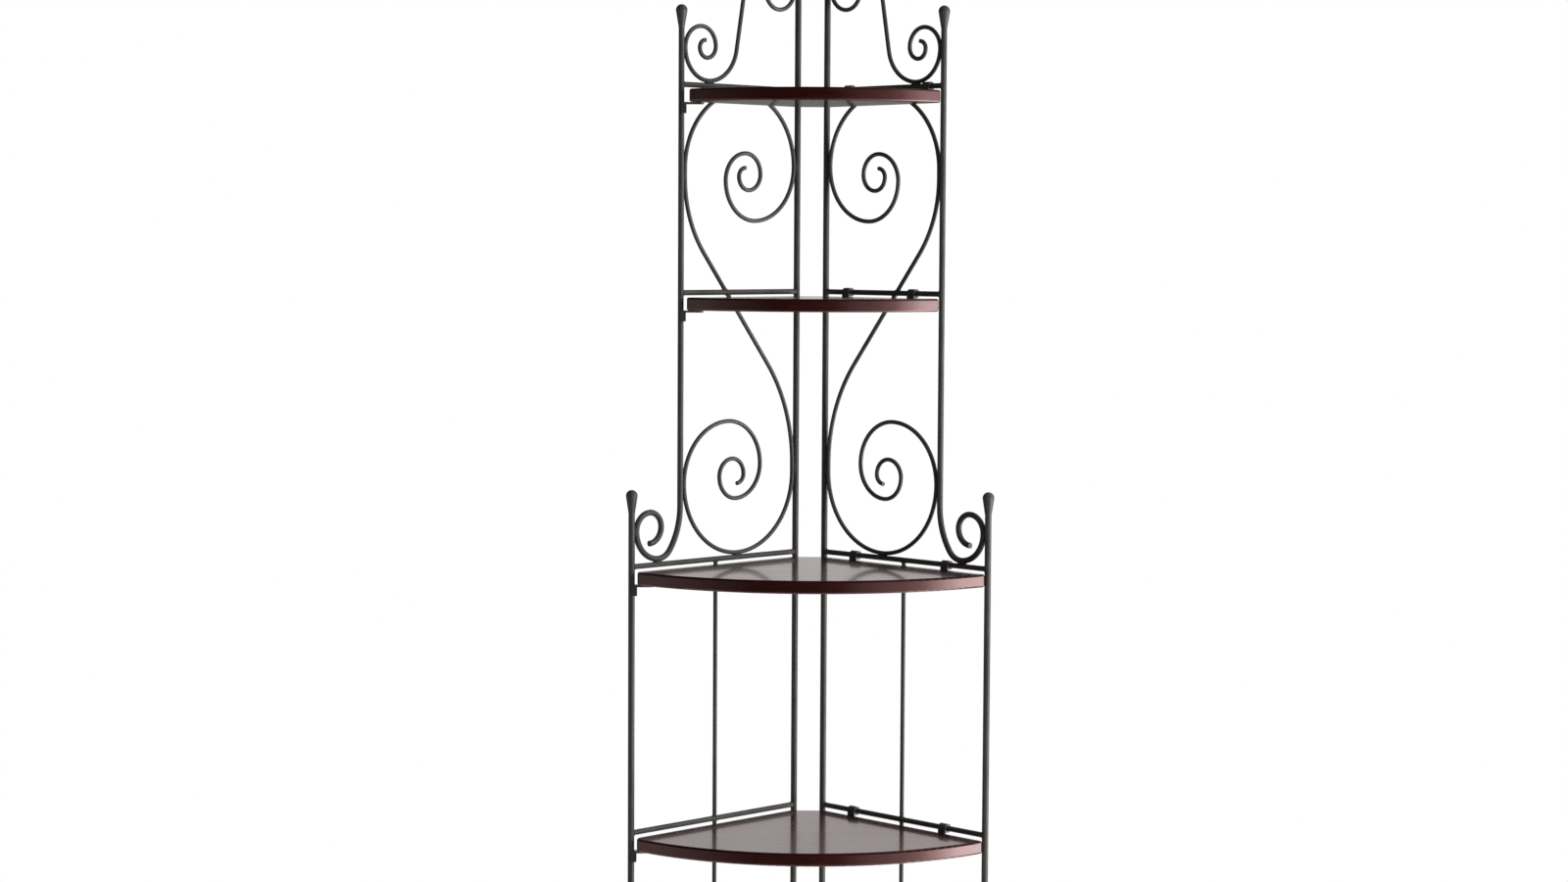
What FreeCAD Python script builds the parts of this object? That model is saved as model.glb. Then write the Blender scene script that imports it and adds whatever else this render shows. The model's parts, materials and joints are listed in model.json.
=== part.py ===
import FreeCAD, Part
import math
import os

# Corner bakers rack: two scrolled steel wings stand at a right angle and are tied at the corner
# by hinge links. Five quarter-round shelves turn on the right wing's rails and rest on brackets
# of the left wing's outer posts. Millimetres, +Z up, the open front faces -Y.

V = FreeCAD.Vector
UP = V(0, 0, 1)

# Heights: the whole rack, its top above the top rail, and the bays between the upper rails. The
# two lower bays are alike and take what is left.
RACK_H = 1829.0
CREST_RISE = 254.8
FIRST_RAIL_Z = 94.2
HIGH_BAY = 396.5
TOP_BAY = 303.5

# Plan of a wing: distances along it from the line where the two wing planes meet.
WING_TURN = 45.0
INNER_REACH = 31.3
UPPER_REACH = 270.0
OUTER_REACH = 365.0

# Steel stock, and the gap that a weld fills.
POST_D = 9.5
POST_WALL = 1.2
UPPER_POST_D = 8.7
RAIL_D = 8.0
ROD_D = 6.35
WELD_GAP = 0.05

# Post tops, each with a finial: the lower outer post ends this far above the place where the
# curl touches it, and the upper one above the top rail.
OUTER_POST_RISE = 27.2
UPPER_POST_RISE = 81.8
FINIAL_BALL_R = 8.5
FINIAL_H = 34.0
SPIGOT_L = 12.0

# Plastic glides over the feet of the posts.
GLIDE_D = 14.0
GLIDE_H = 16.0
GLIDE_FLOOR = 3.0
GLIDE_ROUND = 1.5

# Large S-scroll between the top rail and the third rail. Coil radii, quarter turn by quarter
# turn from the outside in, are shares of the clear width between the posts; the lower coil is
# wound a little wider. The plumb runs that follow are shares of the clear height, and the long
# bends of the largest pair that can meet.
SCROLL_UPPER_COIL_SHARES = (0.515, 0.485, 0.367, 0.266, 0.183, 0.137, 0.108, 0.090, 0.058)
SCROLL_LOWER_COIL_SHARES = (0.515, 0.485, 0.400, 0.295, 0.225, 0.150, 0.117, 0.105, 0.062)
SCROLL_UPPER_BEND_SHARE = 0.338
SCROLL_LOWER_BEND_SHARE = 0.469
SCROLL_PLUMB_SHARE = 0.02

# Crest scroll on the top rail, with coils sized by the same clear width.
CREST_H = 191.2
CREST_COIL_SHARES = (0.210, 0.145, 0.127, 0.078, 0.065, 0.050)
CREST_BEND_SHARE = 0.255

# Curled foot of the upper outer post, sized by the clear width between the two outer posts. The
# coil's quarter turns follow the first one, which fits what is left.
CURL_BEND_TURN = 35.0
CURL_BEND_SHARE = 1.276
CURL_FOOT_SHARE = 0.336
CURL_COIL_SHARES = (0.62, 0.52, 0.55)

# Shelves.
SHELF_T = 19.0
SHELF_PAST_POST = 2.0
SHELF_SWING_GAP = 1.0
SHELF_REAR_SETBACK = 14.0
SHELF_FREE_TIP_ROUND = 14.0
SHELF_HINGE_TIP_ROUND = 4.0
SHELF_REAR_ROUND = 4.0
SHELF_EDGE_ROUND = 3.0

# Hinge clips: straps round the right rails, each with a tail screwed to the shelf's edge.
CLIP_W = 14.0
CLIP_T = 2.5
TURNING_FIT = 0.1
CLIP_NEAR_SHARE = 0.20
CLIP_FAR_SHARE = 0.76
CLIP_TOP_FAR_SHARE = 0.87
CLIP_CURL_GAP = 28.7
SCREW_D = 3.5
SCREW_HEAD_D = 7.0
SCREW_L = 14.0

# Brackets on the left outer posts, each with a locating peg under the shelf tip.
BRACKET_REACH = 33.0
BRACKET_W = 12.0
BRACKET_T = 3.0
BRACKET_LUG_H = 16.0
SEAT_GAP = 0.2
PEG_D = 5.0
PEG_H = 6.0
PEG_CLEARANCE = 0.8

# Links that join the wings at the corner: welded to the left inner post, turning on the right.
LINK_T = 4.0
LINK_H = 10.0
LINK_EYE_WALL = 2.5

# Derived sizes.
POST_R = POST_D / 2
UPPER_POST_R = UPPER_POST_D / 2
RAIL_R = RAIL_D / 2
ROD_R = ROD_D / 2
ROD_ON_RAIL = RAIL_R + ROD_R + WELD_GAP
CLIP_R = RAIL_R + TURNING_FIT + CLIP_T
HINGE_GAP = CLIP_R + WELD_GAP
EYE_R = POST_R + TURNING_FIT + LINK_EYE_WALL
LOWER_BAY = (RACK_H - CREST_RISE - TOP_BAY - HIGH_BAY - FIRST_RAIL_Z) / 2
BAYS = (LOWER_BAY, LOWER_BAY, HIGH_BAY, TOP_BAY)
RAIL_Z = [FIRST_RAIL_Z + sum(BAYS[:count]) for count in range(len(BAYS) + 1)]
SPLIT_RAIL_Z = RAIL_Z[2]
CROSSED_RAIL_Z = RAIL_Z[3]
TOP_RAIL_Z = RAIL_Z[4]
BALUSTER_REACH = (INNER_REACH + OUTER_REACH) / 2
SCROLL_IN = INNER_REACH + POST_R + ROD_R + WELD_GAP
SCROLL_OUT = UPPER_REACH - UPPER_POST_R - ROD_R - WELD_GAP
SCROLL_SPAN = SCROLL_OUT - SCROLL_IN
CURL_SPAN = OUTER_REACH - UPPER_REACH - POST_R - UPPER_POST_R - WELD_GAP
CURL_SEAT_Z = SPLIT_RAIL_Z + RAIL_R + UPPER_POST_R + WELD_GAP
WING_SINE = math.sin(math.radians(WING_TURN))
WING_COSINE = math.cos(math.radians(WING_TURN))
INNER_POST_SETBACK = INNER_REACH * WING_SINE
WIDE_SHELF_R = OUTER_REACH + SHELF_PAST_POST
CORNER_Y = (WIDE_SHELF_R + INNER_POST_SETBACK - EYE_R) / 2
SIDES = {"left": WING_TURN - 180, "right": -WING_TURN}


def place(shape, side):
    """Turn a shape made along +X from the corner line into the plane of one wing."""
    placed = shape.copy()
    placed.rotate(V(0, 0, 0), UP, SIDES[side])
    placed.translate(V(0, CORNER_Y, 0))
    return placed


def save(name, *shapes):
    """Write one node: a single solid, or a group of separate solids."""
    solids = [solid for shape in shapes for solid in shape.Solids]
    node = solids[0] if len(solids) == 1 else Part.makeCompound(solids)
    node.exportStep("parts/" + name + ".step")


def upright(reach, radius, bottom, top):
    """Round bar standing in the wing plane."""
    return Part.makeCylinder(radius, top - bottom, V(reach, 0, bottom), UP)


def crossbar(radius, height, start, end):
    """Round bar lying along the wing."""
    return Part.makeCylinder(radius, end - start, V(start, 0, height), V(1, 0, 0))


# Rod paths in the wing plane, as tangent lines and arcs.

def heading_vector(heading):
    angle = math.radians(heading)
    return V(math.cos(angle), 0, math.sin(angle))


def arc_run(start, heading, radius, turn):
    """Arc from start that turns left for a positive angle; gives its points and new heading."""
    side = math.copysign(1, turn)
    centre = start + heading_vector(heading + side * 90) * radius
    radials = [heading_vector(heading + share * turn - side * 90) for share in (0, 0.5, 1)]
    return tuple(centre + radial * radius for radial in radials), heading + turn


def coil_runs(start, heading, radii, turn):
    """Quarter turns that wind inwards from start."""
    runs = []
    for radius in radii:
        run, heading = arc_run(start, heading, radius, turn)
        runs.append(run)
        start = run[-1]
    return runs


def backwards(runs):
    return [tuple(reversed(run)) for run in reversed(runs)]


def half_turned(runs, centre):
    """The same runs after half a turn about a point of the wing plane."""
    return [tuple(centre * 2 - point for point in run) for run in runs]


def run_edge(run):
    """Straight edge through two points, or an arc through three."""
    curve = Part.LineSegment(*run) if len(run) == 2 else Part.Arc(*run)
    return curve.toShape()


def rod(runs, radius):
    """Round bar bent along the runs."""
    edges = [run_edge(run) for run in runs]
    start = edges[0].Vertexes[0].Point
    tangent = edges[0].tangentAt(edges[0].FirstParameter)
    section = Part.Wire([Part.Circle(start, tangent, radius).toShape()])
    return Part.Wire(edges).makePipeShell([section], True, False)


def scaled(shares, size):
    return [share * size for share in shares]


# Pieces of one wing.

def tube_post(reach, top):
    outer = upright(reach, POST_R, GLIDE_FLOOR + WELD_GAP, top)
    return outer.cut(upright(reach, POST_R - POST_WALL, 0, top + FINIAL_H))


def rail(height, outer_reach, outer_radius):
    """Rail between the inner post and an outer one, with its ends coped to both."""
    bar = crossbar(RAIL_R, height, INNER_REACH, outer_reach)
    bar = bar.cut(upright(INNER_REACH, POST_R + WELD_GAP, 0, RACK_H))
    return bar.cut(upright(outer_reach, outer_radius + WELD_GAP, 0, RACK_H))


def baluster(bottom_rail, top_rail):
    bar = upright(BALUSTER_REACH, ROD_R, bottom_rail, top_rail)
    for height in (bottom_rail, top_rail):
        bar = bar.cut(crossbar(RAIL_R + WELD_GAP, height, INNER_REACH, OUTER_REACH))
    return bar


def curl_radii():
    """Radii of the curled foot: the sweep outwards, the foot and the coil's first turn."""
    turn = math.radians(CURL_BEND_TURN)
    sweep = CURL_SPAN * CURL_BEND_SHARE
    foot = CURL_SPAN * CURL_FOOT_SHARE
    return sweep, foot, CURL_SPAN - sweep * (1 - math.cos(turn)) - foot * math.cos(turn)


def curled_post():
    """Upper outer post: plumb, then swept outwards onto the third rail and coiled."""
    sine = math.sin(math.radians(CURL_BEND_TURN))
    sweep_r, foot_r, first = curl_radii()
    top = V(UPPER_REACH, 0, TOP_RAIL_Z + UPPER_POST_RISE)
    bend = V(UPPER_REACH, 0, CURL_SEAT_Z + foot_r * (1 - sine) + sweep_r * sine)
    sweep, heading = arc_run(bend, -90, sweep_r, CURL_BEND_TURN)
    foot, heading = arc_run(sweep[-1], heading, foot_r, -heading)
    coil = coil_runs(foot[-1], heading, [first] + scaled(CURL_COIL_SHARES, first), 90)
    return rod([(top, bend), sweep, foot] + coil, UPPER_POST_R)


def s_scroll():
    """Large S-scroll in two bars, butted above and below the fourth rail that it crosses."""
    top = TOP_RAIL_Z - ROD_ON_RAIL
    bottom = SPLIT_RAIL_Z + ROD_ON_RAIL
    height = top - bottom
    upper_radii = scaled(SCROLL_UPPER_COIL_SHARES, SCROLL_SPAN)
    lower_radii = scaled(SCROLL_LOWER_COIL_SHARES, SCROLL_SPAN)
    upper_touch = V(SCROLL_OUT, 0, top - upper_radii[0])
    lower_touch = V(SCROLL_IN, 0, bottom + lower_radii[0])
    upper_coil = coil_runs(upper_touch, 90, upper_radii, 90)
    lower_coil = coil_runs(lower_touch, -90, lower_radii, 90)

    plumb = V(0, 0, height * SCROLL_PLUMB_SHARE)
    upper_start = upper_touch - plumb
    lower_end = lower_touch + plumb
    largest = (upper_start - lower_end).Length ** 2 / (2 * SCROLL_SPAN)
    upper_r = largest * SCROLL_UPPER_BEND_SHARE
    lower_r = largest * SCROLL_LOWER_BEND_SHARE
    across = (lower_end + V(lower_r, 0, 0)) - (upper_start - V(upper_r, 0, 0))
    slant = -math.acos((upper_r + lower_r) / across.Length) - math.atan2(across.z, across.x)
    upper_bend, heading = arc_run(upper_start, -90, upper_r, -math.degrees(slant))
    lower_bend, heading = arc_run(lower_end, 90, lower_r, -math.degrees(slant))
    lower_bend = tuple(reversed(lower_bend))

    runs = backwards(upper_coil) + [(upper_touch, upper_start), upper_bend]
    runs += [(upper_bend[-1], lower_bend[0]), lower_bend, (lower_end, lower_touch)] + lower_coil
    crossing = crossbar(RAIL_R + WELD_GAP, CROSSED_RAIL_Z, INNER_REACH, OUTER_REACH)
    pieces = rod(runs, ROD_R).cut(crossing).Solids
    return sorted(pieces, key=lambda piece: piece.BoundBox.ZMax, reverse=True)


def crest_scroll():
    """Smaller S-scroll that stands on the top rail, alike at both ends."""
    base = TOP_RAIL_Z + ROD_ON_RAIL
    radii = scaled(CREST_COIL_SHARES, SCROLL_SPAN)
    centre = V((SCROLL_IN + SCROLL_OUT) / 2, 0, base + CREST_H / 2)
    foot = V(SCROLL_OUT - radii[0], 0, base)
    coil = coil_runs(foot, 0, radii, 90)
    bend_r = SCROLL_SPAN * CREST_BEND_SHARE
    to_centre = centre - (foot + V(0, 0, bend_r))
    leave = math.atan2(to_centre.z, to_centre.x) + math.acos(bend_r / to_centre.Length)
    bend, heading = arc_run(foot, 180, bend_r, math.degrees(leave) - 90 - 180)
    lower_half = backwards(coil) + [bend]
    upper_half = backwards(half_turned(lower_half, centre))
    return rod(lower_half + [(bend[-1], upper_half[0][0])] + upper_half, ROD_R)


def finial(reach, base, radius, spigot_r):
    """Ball on a tapered neck, turned in one piece, with a spigot where the post is a tube."""
    ball_z = FINIAL_H - FINIAL_BALL_R
    span = math.hypot(radius, ball_z)
    lean = math.atan2(ball_z, -radius) - math.asin(FINIAL_BALL_R / span)
    length = math.sqrt(span ** 2 - FINIAL_BALL_R ** 2)
    foot = V(0, 0, 0)
    rim = V(radius, 0, 0)
    tangent = rim + V(math.cos(lean), 0, math.sin(lean)) * length
    side = V(FINIAL_BALL_R, 0, ball_z)
    top = V(0, 0, FINIAL_H)
    outline = [(foot, rim), (rim, tangent), (tangent, side, top), (top, foot)]
    turned = Part.Face(Part.Wire([run_edge(run) for run in outline])).revolve(foot, UP, 360)
    if spigot_r:
        spigot = Part.makeCylinder(spigot_r, SPIGOT_L, V(0, 0, -SPIGOT_L), UP)
        turned = turned.fuse(spigot).removeSplitter()
    turned.translate(V(reach, 0, base + WELD_GAP))
    return turned


def glide(reach):
    cap = Part.makeCylinder(GLIDE_D / 2, GLIDE_H, V(reach, 0, 0), UP)
    cap = cap.makeFillet(GLIDE_ROUND, [edge for edge in cap.Edges if edge.Closed])
    return cap.cut(upright(reach, POST_R + WELD_GAP, GLIDE_FLOOR, RACK_H))


# Shelves and what they turn and rest on, in the frame of the right wing:
# X runs along that wing and -Y along the left one.

INTO_SHELF = V(0, -1, 0)


def on_post(reach, out):
    """Plan point in front of a left post, outwards along the rack's width."""
    offset = out * WING_COSINE
    return V(offset, offset - reach, 0)


def clip_places(height, outer_reach):
    """Two clips to a shelf; the far one of a wide shelf stands clear of the curl's foot."""
    length = outer_reach - INNER_REACH
    far_share = CLIP_TOP_FAR_SHARE if height == TOP_RAIL_Z else CLIP_FAR_SHARE
    curl_foot = UPPER_REACH + CURL_SPAN - curl_radii()[-1]
    wide = outer_reach == OUTER_REACH
    far = curl_foot - CLIP_CURL_GAP if wide else INNER_REACH + far_share * length
    return [INNER_REACH + CLIP_NEAR_SHARE * length, far]


def upright_edge(board, corner):
    """Upright edge of a board that stands nearest to a corner of its outline."""
    edges = [edge for edge in board.Edges if edge.BoundBox.ZLength > SHELF_T / 2]
    return min(edges, key=lambda edge: edge.CenterOfMass.distanceToPoint(corner))


def shelf_top(height):
    """Height of the top of the shelf that turns on the rail at a height."""
    return height - HINGE_GAP


def shelf(height, outer_reach):
    """Quarter-round board with eased edges, a peg hole and pilot holes for the clip screws.

    Its free side swings past the left inner post, and at the top past that post's finial.
    """
    radius = outer_reach + SHELF_PAST_POST
    rear = (INNER_POST_SETBACK + SHELF_REAR_SETBACK) / WING_COSINE
    free_gap = SHELF_SWING_GAP + (FINIAL_BALL_R if height == TOP_RAIL_Z else POST_R)
    hinge_tip = V(math.sqrt(radius ** 2 - HINGE_GAP ** 2), -HINGE_GAP, 0)
    free_tip = V(free_gap, -math.sqrt(radius ** 2 - free_gap ** 2), 0)
    hinge_rear = V(rear - HINGE_GAP, -HINGE_GAP, 0)
    free_rear = V(free_gap, free_gap - rear, 0)
    front = V(WING_COSINE, -WING_SINE, 0) * radius
    outline = [(hinge_rear, hinge_tip), (hinge_tip, front, free_tip)]
    outline += [(free_tip, free_rear), (free_rear, hinge_rear)]
    board = Part.Face(Part.Wire([run_edge(run) for run in outline])).extrude(UP * SHELF_T)

    roundings = [(hinge_tip, SHELF_HINGE_TIP_ROUND), (free_tip, SHELF_FREE_TIP_ROUND)]
    roundings += [(hinge_rear, SHELF_REAR_ROUND), (free_rear, SHELF_REAR_ROUND)]
    for corner, rounding in roundings:
        board = board.makeFillet(rounding, [upright_edge(board, corner)])
    rims = [edge for edge in board.Edges if edge.BoundBox.ZLength < SHELF_T / 2]
    board = board.makeFillet(SHELF_EDGE_ROUND, rims)

    peg = on_post(outer_reach, BRACKET_REACH - BRACKET_W / 2)
    board = board.cut(Part.makeCylinder(PEG_D / 2 + PEG_CLEARANCE, PEG_H + PEG_CLEARANCE, peg, UP))
    board.translate(V(0, 0, shelf_top(height) - SHELF_T))
    pilot_r = SCREW_D / 2 + WELD_GAP
    for reach in clip_places(height, outer_reach):
        mouth = screw_head(reach, height)
        board = board.cut(Part.makeCylinder(pilot_r, SCREW_L + WELD_GAP, mouth, INTO_SHELF))
    return board


def clip(reach, height):
    """Strap round the rail, with a tail down the shelf's edge that is countersunk there."""
    end = V(reach - CLIP_W / 2, 0, height)
    drop = height - shelf_top(height) + SHELF_T - SHELF_EDGE_ROUND
    tail = Part.makeBox(CLIP_W, CLIP_T, drop, end - V(0, CLIP_R, drop))
    ring = Part.makeCylinder(CLIP_R, CLIP_W, end, V(1, 0, 0))
    strap = ring.fuse(tail).removeSplitter()
    strap = strap.cut(Part.makeCylinder(RAIL_R + TURNING_FIT, CLIP_W, end, V(1, 0, 0)))
    return strap.cut(screw(reach, height, WELD_GAP))


def screw_head(reach, height):
    """Middle of a screw's head, flush with the clip's tail and halfway down the shelf's edge."""
    return V(reach, CLIP_T - CLIP_R, shelf_top(height) - SHELF_T / 2)


def screw(reach, height, grown):
    """Countersunk wood screw through a clip's tail; grown gives its clearance hole."""
    head_r = SCREW_HEAD_D / 2 + grown
    shank_r = SCREW_D / 2 + grown
    taper = head_r - shank_r
    head_top = screw_head(reach, height)
    head = Part.makeCone(head_r, shank_r, taper, head_top, INTO_SHELF)
    shank_top = head_top + INTO_SHELF * taper
    shank = Part.makeCylinder(shank_r, SCREW_L - taper, shank_top, INTO_SHELF)
    return head.fuse(shank).removeSplitter()


def bracket(height, outer_reach, post_radius):
    """Welded bracket: a lug on the post, an arm under the shelf tip and a locating peg."""
    seat = shelf_top(height) - SHELF_T - SEAT_GAP
    tip = BRACKET_REACH - BRACKET_W / 2
    arm = Part.makeBox(tip, BRACKET_W, BRACKET_T, V(0, -BRACKET_W / 2, -BRACKET_T))
    arm = arm.fuse(Part.makeCylinder(BRACKET_W / 2, BRACKET_T, V(tip, 0, -BRACKET_T), UP))
    lug_reach = post_radius + BRACKET_T + WELD_GAP
    lug = Part.makeBox(lug_reach, BRACKET_W, BRACKET_LUG_H, V(0, -BRACKET_W / 2, -BRACKET_LUG_H))
    peg = Part.makeCylinder(PEG_D / 2, PEG_H, V(tip, 0, 0), UP)
    post = Part.makeCylinder(post_radius + WELD_GAP, RACK_H, V(0, 0, -RACK_H / 2), UP)
    whole = arm.fuse([lug, peg]).removeSplitter().cut(post)
    whole.rotate(V(0, 0, 0), UP, WING_TURN)
    whole.translate(on_post(outer_reach, 0) + V(0, 0, seat))
    return whole


def corner_link(height):
    """Flat link with an eye round each inner post, behind the shelf's cut corner."""
    length = 2 * INNER_POST_SETBACK
    low = -LINK_H / 2
    bar = Part.makeBox(length, LINK_T, LINK_H, V(0, -LINK_T / 2, low))
    eyes = [Part.makeCylinder(EYE_R, LINK_H, V(start, 0, low), UP) for start in (0, length)]
    link = bar.fuse(eyes).removeSplitter()
    for start, gap in ((0, TURNING_FIT), (length, WELD_GAP)):
        link = link.cut(Part.makeCylinder(POST_R + gap, LINK_H, V(start, 0, low), UP))
    link.rotate(V(0, 0, 0), UP, WING_TURN - 180)
    link.translate(V(INNER_REACH, 0, shelf_top(height) - SHELF_T / 2))
    return link


def save_wing(side):
    inner_top = RACK_H - FINIAL_H - WELD_GAP
    outer_top = CURL_SEAT_Z + curl_radii()[-1] + OUTER_POST_RISE
    upper_top = TOP_RAIL_Z + UPPER_POST_RISE
    spigot_r = POST_R - POST_WALL - WELD_GAP
    pieces = {
        "inner_post": tube_post(INNER_REACH, inner_top),
        "outer_post": tube_post(OUTER_REACH, outer_top),
        "upper_post": curled_post(),
        "inner_finial": finial(INNER_REACH, inner_top, POST_R, spigot_r),
        "outer_finial": finial(OUTER_REACH, outer_top, POST_R, spigot_r),
        "upper_finial": finial(UPPER_REACH, upper_top, UPPER_POST_R, 0),
        "inner_glide": glide(INNER_REACH),
        "outer_glide": glide(OUTER_REACH),
        "low_baluster": baluster(RAIL_Z[0], RAIL_Z[1]),
        "mid_baluster": baluster(RAIL_Z[1], RAIL_Z[2]),
        "crest_scroll": crest_scroll(),
    }
    pieces["scroll_upper"], pieces["scroll_lower"] = s_scroll()
    for tier, (height, outer_reach, post_radius) in enumerate(TIERS, 1):
        pieces[f"rail_{tier}"] = rail(height, outer_reach, post_radius)
    for name, piece in pieces.items():
        save(f"{side}_{name}", place(piece, side))


def save_tier(tier, height, outer_reach, post_radius):
    reaches = clip_places(height, outer_reach)
    clips = [place(clip(reach, height), "right") for reach in reaches]
    screws = [place(screw(reach, height, 0), "right") for reach in reaches]
    save(f"shelf_{tier}", place(shelf(height, outer_reach), "right"))
    save(f"shelf_{tier}_clips", *clips)
    save(f"shelf_{tier}_screws", *screws)
    save(f"shelf_bracket_{tier}", place(bracket(height, outer_reach, post_radius), "right"))


# Each tier: rail height, reach of the outer post that it ends at, and that post's radius.
TIERS = [
    (height, UPPER_REACH, UPPER_POST_R) if height > SPLIT_RAIL_Z else (height, OUTER_REACH, POST_R)
    for height in RAIL_Z
]

os.makedirs("parts", exist_ok=True)
for wing_side in SIDES:
    save_wing(wing_side)
for tier_number, tier_sizes in enumerate(TIERS, 1):
    save_tier(tier_number, *tier_sizes)
for tier_number in (1, 3, 5):
    save(f"corner_link_{tier_number}", place(corner_link(RAIL_Z[tier_number - 1]), "right"))
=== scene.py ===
import json
import math

import bmesh
import bpy
from mathutils import Matrix, Vector


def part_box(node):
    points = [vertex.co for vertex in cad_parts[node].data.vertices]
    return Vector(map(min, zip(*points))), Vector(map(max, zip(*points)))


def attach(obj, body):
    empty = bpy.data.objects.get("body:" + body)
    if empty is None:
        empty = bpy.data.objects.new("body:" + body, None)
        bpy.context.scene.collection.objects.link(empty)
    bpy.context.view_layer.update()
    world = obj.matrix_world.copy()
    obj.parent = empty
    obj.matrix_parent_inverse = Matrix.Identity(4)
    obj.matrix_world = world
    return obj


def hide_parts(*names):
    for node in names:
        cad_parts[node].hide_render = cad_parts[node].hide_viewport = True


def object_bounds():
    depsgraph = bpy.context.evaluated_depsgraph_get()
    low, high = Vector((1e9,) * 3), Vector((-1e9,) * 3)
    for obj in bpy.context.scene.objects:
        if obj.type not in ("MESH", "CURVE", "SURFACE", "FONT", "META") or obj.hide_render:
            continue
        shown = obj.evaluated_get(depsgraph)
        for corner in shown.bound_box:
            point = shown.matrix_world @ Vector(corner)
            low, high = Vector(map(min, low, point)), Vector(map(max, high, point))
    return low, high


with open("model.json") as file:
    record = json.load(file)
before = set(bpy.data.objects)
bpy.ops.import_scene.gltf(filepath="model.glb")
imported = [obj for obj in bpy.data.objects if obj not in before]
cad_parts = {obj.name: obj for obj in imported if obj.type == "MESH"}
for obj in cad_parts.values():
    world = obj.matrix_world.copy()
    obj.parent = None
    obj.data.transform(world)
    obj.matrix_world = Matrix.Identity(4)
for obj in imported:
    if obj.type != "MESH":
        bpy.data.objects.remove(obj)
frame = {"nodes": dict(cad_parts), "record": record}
cad_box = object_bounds()
nodes = frame["nodes"]
UP = Vector((0, 0, 1))
MM = 0.001

# Tiers of shelves and rails, counted from the floor. The outer posts carry those up to the last wide one, and
# the large scrolls cross one rail.
TIERS = range(1, 6)
LAST_WIDE_TIER = 3
CROSSED_TIER = 4

# Camera, fitted to the posts and rails: focal length in pixels of a 1600 pixel wide frame, place
# relative to the corner line, and turns in degrees.
PHOTO_W = 1600
CAMERA_FOCAL_PX = 3075
CAMERA_BACK = 4.6044
CAMERA_Z = 1.3464
CAMERA_YAW = 0.502
CAMERA_LEVEL = 90
CAMERA_PITCH = 3.788
CAMERA_ROLL = 0.316
SENSOR_W = 36

# Weld beads: rippled rings round butt joints, and seams in the grooves where two bars touch.
BEAD_R = 1.1 * MM
BEAD_RIPPLE_SHARE = 0.16
BEAD_RIPPLES = 13
BEAD_STEPS = 39
BEAD_SIDES = 8
SEAM_L = 15 * MM
SEAM_STEPS = 18
SEAM_END_SHARE = 0.02
SEAM_SWELL_POWER = 0.5

# Points of a node this close to its furthest one belong to the place where it touches its neighbour, or to
# the flat face of a screw.
TOUCH_DEPTH = 0.15 * MM
FACE_DEPTH = 0.01 * MM

# Screws: their cross recess and shank as shares of the head's radius, and their point as a share of the
# shank's radius.
RECESS_ARM_SHARE = 0.62
RECESS_SLOT_SHARE = 0.24
RECESS_DEPTH = 1.3 * MM
SHANK_SHARE = 0.5
POINT_SHARE = 2
SCREW_SIDES = 28

# Finishes. A noise is its scale, detail and, where given, roughness. A bump is its strength and height.
NOISE_LOW, NOISE_HIGH = 0.3, 0.7
NOISE_ROUGHNESS = 0.5

PAINT_MOTTLE = (28, 5)
PAINT_GRAIN = (1600, 2)
PAINT_COLOURS = [
    (0.30, (0.050, 0.045, 0.044)),
    (0.55, (0.066, 0.061, 0.060)),
    (0.75, (0.061, 0.053, 0.050)),
]
PAINT_ROUGHNESS = (0.26, 0.33)
PAINT_BUMP = (0.10, 0.05 * MM)
PAINT_SPECULAR = 0.4

WOOD_FIGURE_STRETCH = (1.2, 9, 9)
WOOD_FIGURE = (6, 6, 0.6)
WOOD_COLOURS = [
    (0.28, (0.014, 0.0028, 0.0023)),
    (0.48, (0.032, 0.0062, 0.0050)),
    (0.62, (0.024, 0.0046, 0.0038)),
    (0.78, (0.048, 0.0100, 0.0075)),
]
WOOD_PORE_STRETCH = (12, 420, 420)
WOOD_PORES = (3, 4, 0.6)
WOOD_PORE_SHADES = [(0.36, (0.45, 0.42, 0.42)), (0.56, (1, 1, 1))]
WOOD_PORE_SHARE = 0.6
WOOD_ROUGHNESS = (0.24, 0.32)
WOOD_BUMP = (0.04, 0.1 * MM)
WOOD_SPECULAR = 0.6
WOOD_SPECULAR_TINT = (1.0, 0.16, 0.14, 1)
LACQUER_WEIGHT = 1.0
LACQUER_ROUGHNESS = 0.09
LACQUER_IOR = 1.6

PLASTIC_MOTTLE = (60, 3)
PLASTIC_GRAIN = (1400, 2)
PLASTIC_COLOURS = [(0.3, (0.016, 0.016, 0.017)), (0.7, (0.028, 0.027, 0.026))]
PLASTIC_ROUGHNESS = (0.45, 0.62)
PLASTIC_BUMP = (0.3, 0.1 * MM)

STEEL_MOTTLE = (500, 4)
STEEL_SCUFFS = (2200, 2)
STEEL_COLOURS = [(0.35, (0.055, 0.052, 0.050)), (0.70, (0.130, 0.120, 0.112))]
STEEL_ROUGHNESS = (0.28, 0.45)
STEEL_BUMP = (0.15, 0.05 * MM)
STEEL_METALLIC = 0.9

# Floor: a disc of pale paper that fades out towards its rim.
FLOOR_R = 1.5
FLOOR_SIDES = 96
FLOOR_DROP = 0.5 * MM
FLOOR_FADE_SHARE = 0.72
FLOOR_MOTTLE = (3, 3)
FLOOR_COLOURS = [(0.3, (0.80, 0.80, 0.80)), (0.7, (0.84, 0.84, 0.835))]
FLOOR_ROUGHNESS = 0.9

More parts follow.
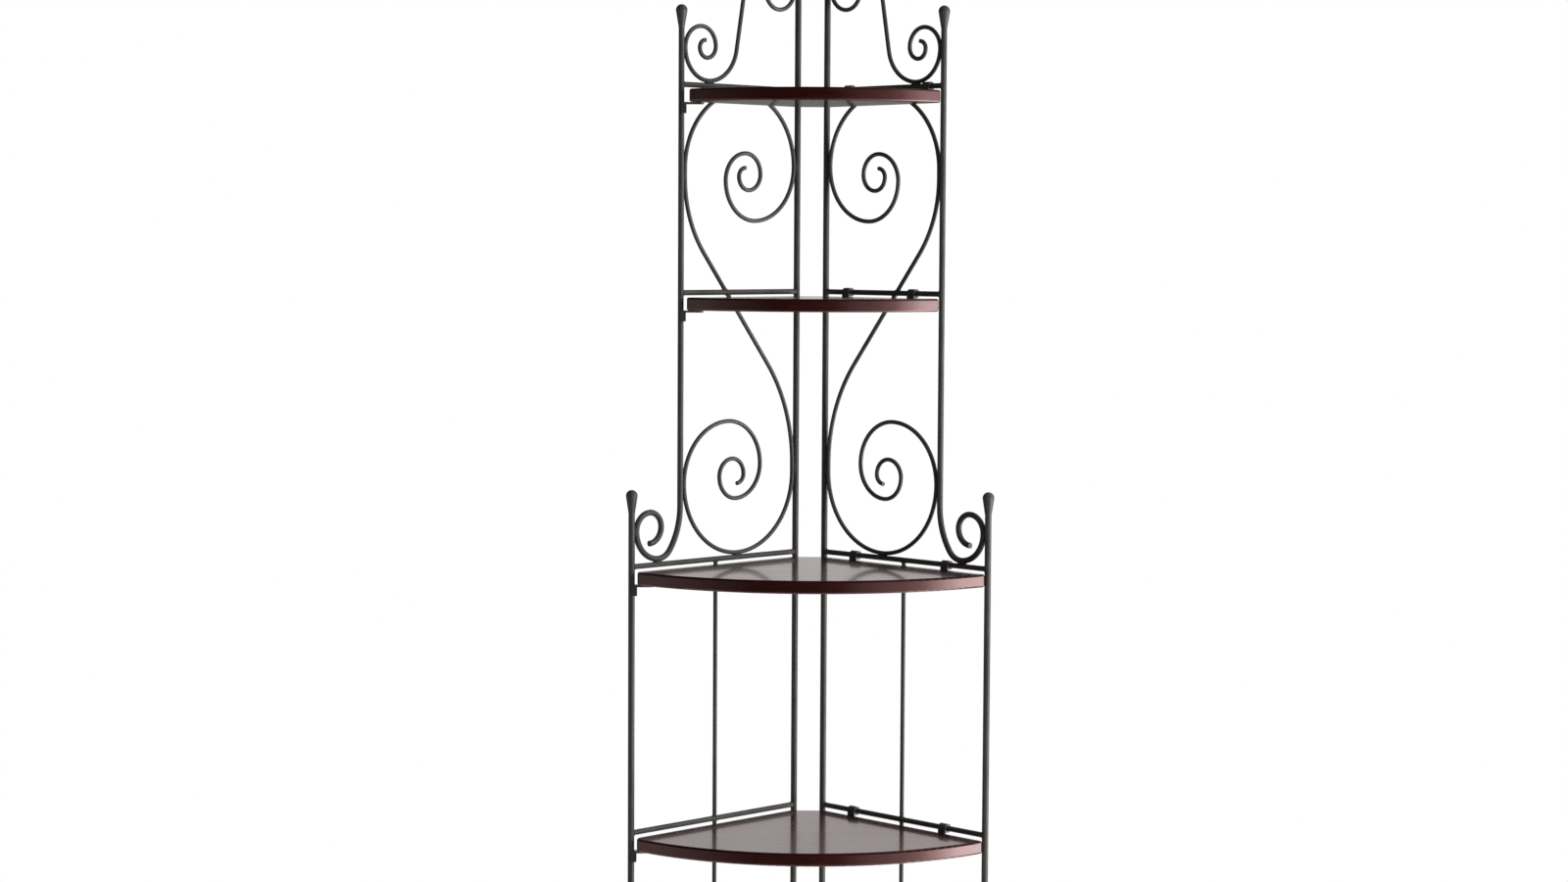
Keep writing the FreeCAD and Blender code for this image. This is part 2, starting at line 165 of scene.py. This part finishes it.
# World: an even fill for soft light. Gloss sees a panel that stands on the right, given as turns in degrees
# from the front to the right with levels of light, and as the share left at each rise of the line of sight.
FILL_LEVEL = 0.22
PANEL_LEVEL = 7.0
GLOSS_ROUND = [
    (-145, 0.13), (-75, 0.50), (-25, 0.05), (0, 0.05), (15, 0.11), (30, 0.64), (46, 1.0), (55, 1.6),
    (66, 4.2), (75, 6.6), (88, 6.9), (98, 3.0), (112, 0.8), (145, 0.13),
]
GLOSS_RISE = [
    (-0.8, 0.1), (-0.65, 1), (-0.25, 1), (-0.16, 0.76), (-0.02, 0.76), (0.06, 0.17), (0.5, 0.17),
    (0.75, 0.03),
]

# Gloss also sees a warm backdrop. It starts where the line of sight is this far to the back, and this high.
BACK_GLOSS = 0.56
BACK_TINT = (1.0, 0.93, 0.93, 1)
BACK_START, BACK_FULL = 0.78, 0.97
BACK_FOOT, BACK_LEVEL = -0.05, 0

# Lamps: the key stands low on the right, the rim lamp high behind.
KEY_PLACE = (2.35, -1.0, 1.6)
KEY_AIM = (0, -0.1, 1.15)
KEY_SIZE = (2.2, 1.9)
KEY_WATTS = 105
RIM_PLACE = (2.0, 2.0, 3.7)
RIM_SIZE = (2.2, 2.2)
RIM_WATTS = 120


# The two wings, read from the frame.

inner_low, inner_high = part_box("right_inner_post")
inner_middle = (inner_low + inner_high) / 2
CORNER = Vector((0, inner_middle.x + inner_middle.y, 0))
SLOPE = math.sqrt(0.5)
POST_R = (inner_high.x - inner_low.x) / 2
WINGS = {"left": Vector((-SLOPE, -SLOPE, 0)), "right": Vector((SLOPE, -SLOPE, 0))}


def points_of(node):
    return [vertex.co.copy() for vertex in nodes[node].data.vertices]


def extent(node, direction):
    """Least and greatest place of a node along a direction."""
    places = [point.dot(direction) for point in points_of(node)]
    return min(places), max(places)


def middle_of(node):
    low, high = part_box(node)
    return (low + high) / 2


def mean(points):
    return sum(points, Vector((0, 0, 0))) / len(points)


def furthest(node, direction, within=TOUCH_DEPTH):
    """Middle of the part of a node that lies furthest along a direction."""
    points = points_of(node)
    limit = max(point.dot(direction) for point in points) - within
    found = [point for point in points if point.dot(direction) > limit]
    low = Vector(min(point[axis] for point in found) for axis in range(3))
    high = Vector(max(point[axis] for point in found) for axis in range(3))
    return (low + high) / 2


def thickness(node, side):
    """Thickness of a flat-bent bar across the plane of its wing."""
    low, high = extent(node, WINGS[side].cross(UP))
    return high - low


# Mesh helpers.

def new_piece(name, mesh_maker, body, material):
    """Mesh object filled by mesh_maker, riding on a body with the finish of a slot."""
    mesh = bpy.data.meshes.new(name)
    work = bmesh.new()
    mesh_maker(work)
    bmesh.ops.recalc_face_normals(work, faces=work.faces)
    for face in work.faces:
        face.smooth = True
    work.to_mesh(mesh)
    work.free()
    piece = bpy.data.objects.new(name, mesh)
    bpy.context.scene.collection.objects.link(piece)
    mesh.materials.append(material)
    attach(piece, body)
    return piece


def turns_round(count):
    """Angles of a full turn in equal steps."""
    return [2 * math.pi * step / count for step in range(count)]


def add_tube(work, centres, radii, closed):
    """Tube through the centres; an open one is capped at both ends."""
    count = len(centres)
    rings = []
    across = None
    for step, (centre, radius) in enumerate(zip(centres, radii)):
        before = centres[step - 1] if step or closed else centre
        after = centres[(step + 1) % count] if step + 1 < count or closed else centre
        along = (after - before).normalized()
        if across is None:
            across = along.orthogonal().normalized()
        across = (across - along * across.dot(along)).normalized()
        other = along.cross(across)
        spokes = [across * math.cos(turn) + other * math.sin(turn) for turn in turns_round(BEAD_SIDES)]
        rings.append([work.verts.new(centre + spoke * radius) for spoke in spokes])
    pairs = list(zip(rings, rings[1:]))
    if closed:
        pairs.append((rings[-1], turned_to_match(rings[-1], rings[0])))
    for ring, next_ring in pairs:
        bridge(work, ring, next_ring)
    if not closed:
        work.faces.new(rings[0])
        work.faces.new(list(reversed(rings[-1])))


def bridge(work, ring, next_ring):
    """Four-sided faces between two rings of as many corners."""
    for side in range(len(ring)):
        far = (side + 1) % len(ring)
        work.faces.new((ring[side], ring[far], next_ring[far], next_ring[side]))


def turned_to_match(ring, other):
    """The other ring's corners, started at the one nearest to this ring's first."""
    start = min(range(len(other)), key=lambda place: (other[place].co - ring[0].co).length)
    return other[start:] + other[:start]


def ripple(turn):
    """Radius of a weld bead at a turn of its ripples."""
    return BEAD_R * (1 + BEAD_RIPPLE_SHARE * math.sin(BEAD_RIPPLES * turn))


def add_saddle_bead(work, meet, away, axis, rod_r, round_r):
    """Rippled weld round a bar that butts onto a round one; meet is where their axes cross."""
    across = away.cross(axis).normalized()
    level = across.cross(away).normalized()
    toward = away - axis * away.dot(axis)
    centres = []
    for turn in turns_round(BEAD_STEPS):
        offset = (level * math.cos(turn) + across * math.sin(turn)) * rod_r
        side = offset.dot(across)
        start = offset.dot(toward.normalized())
        depth = math.sqrt(max(round_r ** 2 - side ** 2, 0))
        centres.append(meet + offset + away * ((depth - start) / toward.length))
    add_tube(work, centres, [ripple(turn) for turn in turns_round(BEAD_STEPS)], True)


def add_seam(work, middle, along):
    """Rippled weld that runs in a groove and fades out at both ends."""
    centres, radii = [], []
    for step in range(SEAM_STEPS + 1):
        share = step / SEAM_STEPS
        centres.append(middle + along * (SEAM_L * (share - 0.5)))
        inside = min(max(share, SEAM_END_SHARE), 1 - SEAM_END_SHARE)
        radii.append(math.sin(math.pi * inside) ** SEAM_SWELL_POWER * ripple(math.pi * share))
    add_tube(work, centres, radii, False)


def add_groove_seams(work, touch, along, side, bar_r):
    """Seams in the grooves on both faces of a wing where two bars touch."""
    face = WINGS[side].cross(UP)
    rise = math.sqrt((bar_r + BEAD_R) ** 2 - bar_r ** 2)
    for sign in (-1, 1):
        add_seam(work, touch + face * (sign * rise), along)


def weld_wing(side):
    """All weld beads of one wing."""
    out = WINGS[side]
    rod_r = thickness(f"{side}_low_baluster", side) / 2
    rail_r = thickness(f"{side}_rail_1", side) / 2
    upper_r = thickness(f"{side}_upper_post", side) / 2

    def at(node, height):
        middle = middle_of(node)
        return Vector((middle.x, middle.y, height))

    def make(work):
        rail_z = {tier: middle_of(f"{side}_rail_{tier}").z for tier in TIERS}
        for tier, height in rail_z.items():
            outer, outer_r = ("upper_finial", upper_r) if tier > LAST_WIDE_TIER else ("outer_post", POST_R)
            add_saddle_bead(work, at(f"{side}_inner_post", height), out, UP, rail_r, POST_R)
            add_saddle_bead(work, at(f"{side}_{outer}", height), -out, UP, rail_r, outer_r)
        for node, low, high in (("low_baluster", 1, 2), ("mid_baluster", 2, 3)):
            add_saddle_bead(work, at(f"{side}_{node}", rail_z[low]), UP, out, rod_r, rail_r)
            add_saddle_bead(work, at(f"{side}_{node}", rail_z[high]), -UP, out, rod_r, rail_r)
        upper_end = furthest(f"{side}_scroll_upper", -UP, 2 * rod_r)
        lower_end = furthest(f"{side}_scroll_lower", UP, 2 * rod_r)
        slant = (upper_end - lower_end).normalized()
        crossing = (upper_end + lower_end) / 2
        crossing.z = rail_z[CROSSED_TIER]
        add_saddle_bead(work, crossing, slant, out, rod_r, rail_r)
        add_saddle_bead(work, crossing, -slant, out, rod_r, rail_r)
        touches = {
            "scroll_upper": (out, -out, UP),
            "scroll_lower": (out, -out, -UP),
            "crest_scroll": (out, -out, -UP),
            "upper_post": (out, -UP),
        }
        for node, directions in touches.items():
            bar_r = upper_r if node == "upper_post" else rod_r
            for direction in directions:
                along = out if direction.z else UP
                add_groove_seams(work, furthest(f"{side}_{node}", direction), along, side, bar_r)

    return make


# Materials.

def new_material(name):
    material = bpy.data.materials.new(name)
    material.use_nodes = True
    tree = material.node_tree
    return material, tree, tree.nodes["Principled BSDF"]


def add_node(tree, kind, settings=None, **inputs):
    """Node of a kind, with its settings and the values of its sockets."""
    node = tree.nodes.new(kind)
    for key, value in (settings or {}).items():
        setattr(node, key, value)
    for key, value in inputs.items():
        node.inputs[key.replace("_", " ")].default_value = value
    return node


def add_ramp(tree, source, stops):
    """Colour ramp over a source socket; stops are (place, colour)."""
    ramp = tree.nodes.new("ShaderNodeValToRGB")
    elements = ramp.color_ramp.elements
    elements[0].position = stops[0][0]
    elements[1].position = stops[-1][0]
    for place, _ in stops[1:-1]:
        elements.new(place)
    for element, (_, colour) in zip(elements, stops):
        element.color = (*colour, 1)
    tree.links.new(source, ramp.inputs["Fac"])
    return ramp.outputs["Color"]


def add_noise(tree, vector, scale, detail, roughness=NOISE_ROUGHNESS):
    noise = add_node(tree, "ShaderNodeTexNoise", Scale=scale, Detail=detail, Roughness=roughness)
    tree.links.new(vector, noise.inputs["Vector"])
    return noise.outputs["Fac"]


def add_range(tree, source, low, high):
    """A noise spread over the values from low to high."""
    spread = add_node(tree, "ShaderNodeMapRange", From_Min=NOISE_LOW, From_Max=NOISE_HIGH, To_Min=low,
                      To_Max=high)
    tree.links.new(source, spread.inputs["Value"])
    return spread.outputs["Result"]


def add_bump(tree, source, strength, distance):
    bump = add_node(tree, "ShaderNodeBump", Strength=strength, Distance=distance)
    tree.links.new(source, bump.inputs["Height"])
    return bump.outputs["Normal"]


def object_coordinates(tree, scale=(1, 1, 1)):
    place = tree.nodes.new("ShaderNodeTexCoord")
    mapping = tree.nodes.new("ShaderNodeMapping")
    mapping.inputs["Scale"].default_value = scale
    tree.links.new(place.outputs["Object"], mapping.inputs["Vector"])
    return mapping.outputs["Vector"]


def grained(name, mottle, colours, grain, roughness, bump):
    """Material of a mottled colour whose roughness and bump come from a fine grain."""
    material, tree, shader = new_material(name)
    place = object_coordinates(tree)
    fine = add_noise(tree, place, *grain)
    tree.links.new(add_ramp(tree, add_noise(tree, place, *mottle), colours), shader.inputs["Base Color"])
    tree.links.new(add_range(tree, fine, *roughness), shader.inputs["Roughness"])
    tree.links.new(add_bump(tree, fine, *bump), shader.inputs["Normal"])
    return material, shader


def gunmetal():
    material, shader = grained("gunmetal_paint", PAINT_MOTTLE, PAINT_COLOURS, PAINT_GRAIN, PAINT_ROUGHNESS,
                               PAINT_BUMP)
    shader.inputs["Specular IOR Level"].default_value = PAINT_SPECULAR
    return material


def cherry_wood():
    material, tree, shader = new_material("cherry_lacquer")
    figure = add_noise(tree, object_coordinates(tree, WOOD_FIGURE_STRETCH), *WOOD_FIGURE)
    pores = add_noise(tree, object_coordinates(tree, WOOD_PORE_STRETCH), *WOOD_PORES)
    mixed = add_node(tree, "ShaderNodeMix", {"data_type": "RGBA", "blend_type": "MULTIPLY"})
    mixed.inputs["Factor"].default_value = WOOD_PORE_SHARE
    tree.links.new(add_ramp(tree, figure, WOOD_COLOURS), mixed.inputs["A"])
    tree.links.new(add_ramp(tree, pores, WOOD_PORE_SHADES), mixed.inputs["B"])
    tree.links.new(mixed.outputs["Result"], shader.inputs["Base Color"])
    tree.links.new(add_range(tree, figure, *WOOD_ROUGHNESS), shader.inputs["Roughness"])
    tree.links.new(add_bump(tree, pores, *WOOD_BUMP), shader.inputs["Normal"])
    shader.inputs["Specular IOR Level"].default_value = WOOD_SPECULAR
    shader.inputs["Specular Tint"].default_value = WOOD_SPECULAR_TINT
    shader.inputs["Coat Weight"].default_value = LACQUER_WEIGHT
    shader.inputs["Coat Roughness"].default_value = LACQUER_ROUGHNESS
    shader.inputs["Coat IOR"].default_value = LACQUER_IOR
    return material


def moulded_plastic():
    material, _ = grained("moulded_plastic", PLASTIC_MOTTLE, PLASTIC_COLOURS, PLASTIC_GRAIN,
                          PLASTIC_ROUGHNESS, PLASTIC_BUMP)
    return material


def blackened_steel():
    material, shader = grained("blackened_steel", STEEL_MOTTLE, STEEL_COLOURS, STEEL_SCUFFS, STEEL_ROUGHNESS,
                               STEEL_BUMP)
    shader.inputs["Metallic"].default_value = STEEL_METALLIC
    return material


MATERIALS = {
    "frame_paint": gunmetal(),
    "shelf_wood": cherry_wood(),
    "glide_plastic": moulded_plastic(),
    "screw_steel": blackened_steel(),
}

for row in frame["record"]["subparts"]:
    for material_slot in nodes[row["node"]].material_slots:
        material_slot.material = MATERIALS[row["material_slot"]]


# Pieces.

def screw_places(node, into):
    """Middle of each screw head of a node, and its radius; the two screws of a node lie in a row."""
    row = WINGS["right"]
    points = points_of(node)
    low, high = extent(node, row)
    cut = (low + high) / 2
    for group in ([p for p in points if p.dot(row) < cut], [p for p in points if p.dot(row) >= cut]):
        face = min(point.dot(into) for point in group)
        rim = [point for point in group if point.dot(into) < face + FACE_DEPTH]
        middle = mean(rim)
        radius = max((point - middle).length for point in rim)
        yield middle, radius


def add_screw(work, head, radius, into, length):
    """Countersunk screw with a cross recess."""
    shank_r = radius * SHANK_SHARE
    across = into.orthogonal().normalized()
    other = into.cross(across)

    def ring(ring_r, depth):
        spokes = [across * math.cos(turn) + other * math.sin(turn) for turn in turns_round(SCREW_SIDES)]
        return [work.verts.new(head + spoke * ring_r + into * depth) for spoke in spokes]

    taper = radius - shank_r
    rings = [ring(radius, 0), ring(shank_r, taper), ring(shank_r, length - POINT_SHARE * shank_r)]
    for first, second in zip(rings, rings[1:]):
        bridge(work, first, second)
    point = work.verts.new(head + into * length)
    for side in range(SCREW_SIDES):
        work.faces.new((rings[-1][side], rings[-1][(side + 1) % SCREW_SIDES], point))

    arm = radius * RECESS_ARM_SHARE
    half = radius * RECESS_SLOT_SHARE / 2
    quarter = [(arm, -half), (arm, half), (half, half)]
    outline = []
    for cosine, sine in ((1, 0), (0, 1), (-1, 0), (0, -1)):
        outline += [(x * cosine - y * sine, x * sine + y * cosine) for x, y in quarter]
    mouth = [work.verts.new(head + across * x + other * y) for x, y in outline]
    rim_edges = [work.edges.get((rings[0][side - 1], rings[0][side])) for side in range(SCREW_SIDES)]
    mouth_edges = [work.edges.new((mouth[side - 1], mouth[side])) for side in range(len(mouth))]
    bmesh.ops.triangle_fill(work, use_beauty=True, edges=rim_edges + mouth_edges)
    floor = work.verts.new(head + into * RECESS_DEPTH)
    for side in range(len(mouth)):
        work.faces.new((mouth[side - 1], mouth[side], floor))


def screws_of(node):
    """Both screws of a shelf, driven into its edge from the right wing."""
    into = WINGS["left"]
    low, high = extent(node, into)

    def make(work):
        for head, radius in screw_places(node, into):
            add_screw(work, head, radius, into, high - low)

    return make


for wing_side in WINGS:
    new_piece(f"{wing_side}_weld_beads", weld_wing(wing_side), "frame",
              MATERIALS["frame_paint"])
for tier in TIERS:
    piece = new_piece(f"shelf_{tier}_cross_screws", screws_of(f"shelf_{tier}_screws"),
                      f"shelf_{tier}_board", MATERIALS["screw_steel"])
    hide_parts(f"shelf_{tier}_screws")


# Floor, light and camera.

def make_floor():
    work = bmesh.new()
    bmesh.ops.create_circle(work, cap_ends=True, radius=FLOOR_R, segments=FLOOR_SIDES)
    mesh = bpy.data.meshes.new("floor")
    work.to_mesh(mesh)
    work.free()
    floor = bpy.data.objects.new("floor", mesh)
    floor.location.z = cad_box[0].z - FLOOR_DROP
    bpy.context.scene.collection.objects.link(floor)
    material, tree, shader = new_material("floor_paper")
    place = tree.nodes.new("ShaderNodeTexCoord")
    colour = add_ramp(tree, add_noise(tree, place.outputs["Object"], *FLOOR_MOTTLE), FLOOR_COLOURS)
    tree.links.new(colour, shader.inputs["Base Color"])
    shader.inputs["Roughness"].default_value = FLOOR_ROUGHNESS
    distance = add_node(tree, "ShaderNodeVectorMath", {"operation": "LENGTH"})
    tree.links.new(place.outputs["Object"], distance.inputs[0])
    fade = add_node(tree, "ShaderNodeMapRange", From_Min=FLOOR_R * FLOOR_FADE_SHARE, From_Max=FLOOR_R)
    tree.links.new(distance.outputs["Value"], fade.inputs["Value"])
    clear = tree.nodes.new("ShaderNodeBsdfTransparent")
    mixed = tree.nodes.new("ShaderNodeMixShader")
    tree.links.new(fade.outputs["Result"], mixed.inputs["Fac"])
    tree.links.new(shader.outputs["BSDF"], mixed.inputs[1])
    tree.links.new(clear.outputs["BSDF"], mixed.inputs[2])
    tree.links.new(mixed.outputs["Shader"], tree.nodes["Material Output"].inputs["Surface"])
    mesh.materials.append(material)


def make_world():
    """White to the camera, an even soft fill, and for gloss a graded panel and a warm backdrop."""
    world = bpy.data.worlds.new("studio")
    world.use_nodes = True
    bpy.context.scene.world = world
    tree = world.node_tree

    def spread(source, low, high, to_low, to_high, kind="LINEAR"):
        node = add_node(tree, "ShaderNodeMapRange", {"interpolation_type": kind}, From_Min=low, From_Max=high,
                        To_Min=to_low, To_Max=to_high)
        tree.links.new(source, node.inputs["Value"])
        return node.outputs["Result"]

    def combine(operation, first, second):
        node = add_node(tree, "ShaderNodeMath", {"operation": operation})
        tree.links.new(first, node.inputs[0])
        tree.links.new(second, node.inputs[1])
        return node.outputs["Value"]

    paths = tree.nodes.new("ShaderNodeLightPath")
    gloss_ray = combine("MAXIMUM", paths.outputs["Is Glossy Ray"], paths.outputs["Is Transmission Ray"])
    sight = tree.nodes.new("ShaderNodeTexCoord")
    split = tree.nodes.new("ShaderNodeSeparateXYZ")
    tree.links.new(sight.outputs["Generated"], split.inputs["Vector"])

    front = spread(split.outputs["Y"], -1, 1, 1, -1)
    turn = spread(combine("ARCTAN2", split.outputs["X"], front), -math.pi, math.pi, 0, 1)
    round_about = add_ramp(tree, turn, [((turn_at + 180) / 360, (level / PANEL_LEVEL,) * 3)
                                        for turn_at, level in GLOSS_ROUND])
    height = spread(split.outputs["Z"], -1, 1, 0, 1)
    up_and_down = add_ramp(tree, height, [((rise + 1) / 2, (share,) * 3) for rise, share in GLOSS_RISE])
    panel = spread(combine("MULTIPLY", round_about, up_and_down), 0, 1, 0, PANEL_LEVEL)

    fill = add_node(tree, "ShaderNodeMapRange", To_Min=FILL_LEVEL)
    tree.links.new(gloss_ray, fill.inputs["Value"])
    tree.links.new(panel, fill.inputs["To Max"])
    level = add_node(tree, "ShaderNodeMapRange", To_Max=1.0)
    tree.links.new(paths.outputs["Is Camera Ray"], level.inputs["Value"])
    tree.links.new(fill.outputs["Result"], level.inputs["To Min"])
    plain = tree.nodes["Background"]
    plain.inputs["Color"].default_value = (1, 1, 1, 1)
    tree.links.new(level.outputs["Result"], plain.inputs["Strength"])

    behind = spread(split.outputs["Y"], BACK_START, BACK_FULL, 0, BACK_GLOSS, "SMOOTHSTEP")
    back = combine("MULTIPLY", behind, spread(split.outputs["Z"], BACK_FOOT, BACK_LEVEL, 0, 1))
    warm = add_node(tree, "ShaderNodeBackground", Color=BACK_TINT)
    tree.links.new(combine("MULTIPLY", back, gloss_ray), warm.inputs["Strength"])
    both = tree.nodes.new("ShaderNodeAddShader")
    tree.links.new(plain.outputs["Background"], both.inputs[0])
    tree.links.new(warm.outputs["Background"], both.inputs[1])
    tree.links.new(both.outputs["Shader"], tree.nodes["World Output"].inputs["Surface"])


def area_light(name, place, aim, size, watts):
    """Soft lamp that gloss doesn't see, because the world gives gloss its panel."""
    lamp = bpy.data.lights.new(name, "AREA")
    lamp.shape = "RECTANGLE"
    lamp.size, lamp.size_y = size
    lamp.energy = watts
    holder = bpy.data.objects.new(name, lamp)
    holder.location = place
    holder.rotation_euler = (Vector(aim) - Vector(place)).to_track_quat("-Z", "Y").to_euler()
    holder.visible_glossy = False
    bpy.context.scene.collection.objects.link(holder)


make_floor()
make_world()
area_light("key", KEY_PLACE, KEY_AIM, KEY_SIZE, KEY_WATTS)
area_light("rim", RIM_PLACE, (0, 0, (cad_box[0].z + cad_box[1].z) / 2), RIM_SIZE, RIM_WATTS)

camera = bpy.data.cameras.new("camera")
camera.sensor_width = SENSOR_W
camera.lens = SENSOR_W * CAMERA_FOCAL_PX / PHOTO_W
camera_object = bpy.data.objects.new("camera", camera)
bpy.context.scene.collection.objects.link(camera_object)
camera_object.matrix_world = (
    Matrix.Translation(CORNER + Vector((0, -CAMERA_BACK, CAMERA_Z)))
    @ Matrix.Rotation(math.radians(CAMERA_YAW), 4, "Z")
    @ Matrix.Rotation(math.radians(CAMERA_LEVEL - CAMERA_PITCH), 4, "X")
    @ Matrix.Rotation(math.radians(CAMERA_ROLL), 4, "Z")
)
bpy.context.scene.camera = camera_object
bpy.context.scene.view_settings.view_transform = "Standard"
